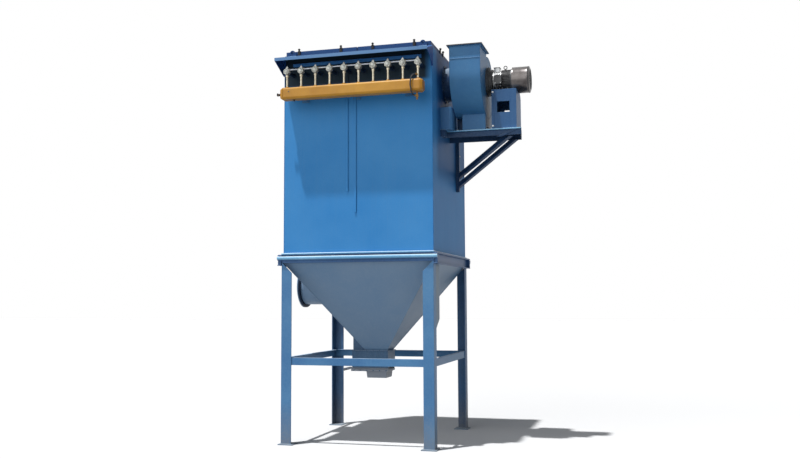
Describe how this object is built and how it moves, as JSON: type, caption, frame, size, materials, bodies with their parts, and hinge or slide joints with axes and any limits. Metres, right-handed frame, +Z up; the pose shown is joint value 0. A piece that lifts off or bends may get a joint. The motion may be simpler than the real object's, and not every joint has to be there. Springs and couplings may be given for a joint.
{
  "type": "pulse bag dust collector",
  "caption": "Blue bag dust collector on angle legs, with a pulse air tank under a rain hood, a pyramid hopper and a fan on a side platform.",
  "frame": {"origin": "on the ground at the centre of the foot bolt pattern", "axes": "+Z up, +X to the fan side, -Y to the valve side"},
  "size_m": [3.236, 2.3716, 5.148],
  "materials": {
    "blue_frame": "blue enamel over structural steel",
    "blue_sheet": "blue enamel over steel sheet",
    "yellow_tank": "ochre enamel over steel tube",
    "cast_aluminium": "as-cast aluminium",
    "zinc_pipe": "zinc plated steel pipe",
    "brass_fittings": "weathered brass",
    "black_fittings": "black moulded knobs on plated studs",
    "black_rubber": "black rubber hose",
    "steel_cover": "pressed steel fan cover",
    "black_motor": "black enamel over cast iron"
  },
  "bodies": {
    "root": {"leg_front_left": "blue_frame", "leg_front_right": "blue_frame", "leg_rear_left": "blue_frame", "leg_rear_right": "blue_frame", "foot_plates": "blue_frame", "leg_side_plate": "blue_frame", "leg_braces": "blue_frame", "ring_beam": "blue_frame", "base_flange": "blue_frame", "housing_shell": "blue_sheet", "front_ribs": "blue_sheet", "roof_plate": "blue_sheet", "roof_lid_left": "blue_sheet", "roof_lid_right": "blue_sheet", "lid_clamps": "black_fittings", "lifting_lugs": "blue_frame", "rain_hood": "blue_sheet", "hood_rail": "blue_frame", "air_tank": "yellow_tank", "tank_ends": "yellow_tank", "tank_brackets": "blue_frame", "tank_cocks": "brass_fittings", "tank_hose": "black_rubber", "valve_stems": "zinc_pipe", "pulse_valves": "cast_aluminium", "pilot_coils": "cast_aluminium", "valve_outlets": "blue_frame", "air_line": "zinc_pipe", "hopper_shell": "blue_sheet", "inlet_duct": "blue_sheet", "gate_housing": "blue_sheet", "gate_brackets": "blue_frame", "slide_gate": "blue_frame", "dust_outlet": "blue_sheet", "fan_inlet_duct": "blue_sheet", "fan_casing": "blue_sheet", "fan_base": "blue_frame", "wall_stand": "blue_frame", "motor_plate": "black_motor", "motor_body": "black_motor", "motor_cover": "steel_cover", "motor_pedestal": "blue_sheet", "platform_frame": "blue_frame", "platform_struts": "blue_frame", "wall_angle": "blue_frame"}
  },
  "joints": []
}
